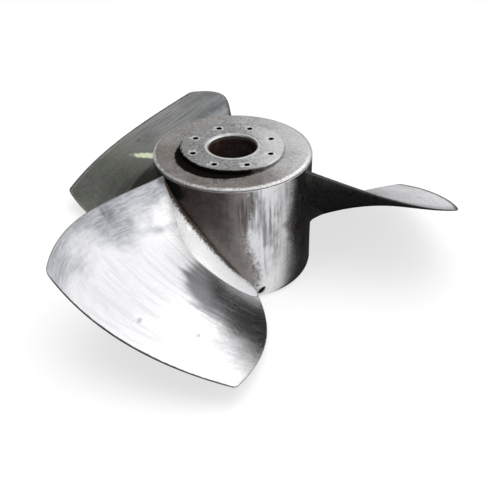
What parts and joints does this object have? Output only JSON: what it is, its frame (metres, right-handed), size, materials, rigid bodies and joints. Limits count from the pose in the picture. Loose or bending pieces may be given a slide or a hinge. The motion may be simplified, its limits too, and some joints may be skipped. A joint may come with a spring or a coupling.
{
  "type": "kaplan turbine runner",
  "caption": "Axial-flow water turbine runner: a hollow steel hub with a bored shaft boss and fixed, screw-shaped blades.",
  "frame": {"origin": "centre of mass, on the shaft axis", "axes": "+Z along the shaft axis, out of the shaft flange face; -Y is the side that faces the viewer of the picture"},
  "size_m": [1.6695, 1.7737, 0.538],
  "materials": {
    "hub_steel": "dull turned steel, brownish grey with dirt",
    "machined_steel": "machined steel, grey with a light stain",
    "weld_steel": "weld bead, wire brushed",
    "inner_steel": "bare plate with a light rust film",
    "blade_steel": "hand-ground stainless steel, blotchy and bright",
    "fillet_steel": "ground weld fillet"
  },
  "bodies": {
    "root": {"hub_barrel": "hub_steel", "hub_top_plate": "machined_steel", "top_plate_weld": "weld_steel", "shaft_boss": "machined_steel", "bore_sleeve": "machined_steel", "hub_bottom_ring": "inner_steel", "bottom_ring_weld": "weld_steel", "hub_rib_1": "inner_steel", "hub_rib_2": "inner_steel", "hub_rib_3": "inner_steel", "hub_rib_4": "inner_steel", "hub_rib_5": "inner_steel", "hub_rib_6": "inner_steel", "blade_1": "blade_steel", "blade_1_upper_fillet": "fillet_steel", "blade_1_under_fillet": "fillet_steel", "blade_2": "blade_steel", "blade_2_upper_fillet": "fillet_steel", "blade_2_under_fillet": "fillet_steel", "blade_3": "blade_steel", "blade_3_upper_fillet": "fillet_steel", "blade_3_under_fillet": "fillet_steel"}
  },
  "joints": []
}
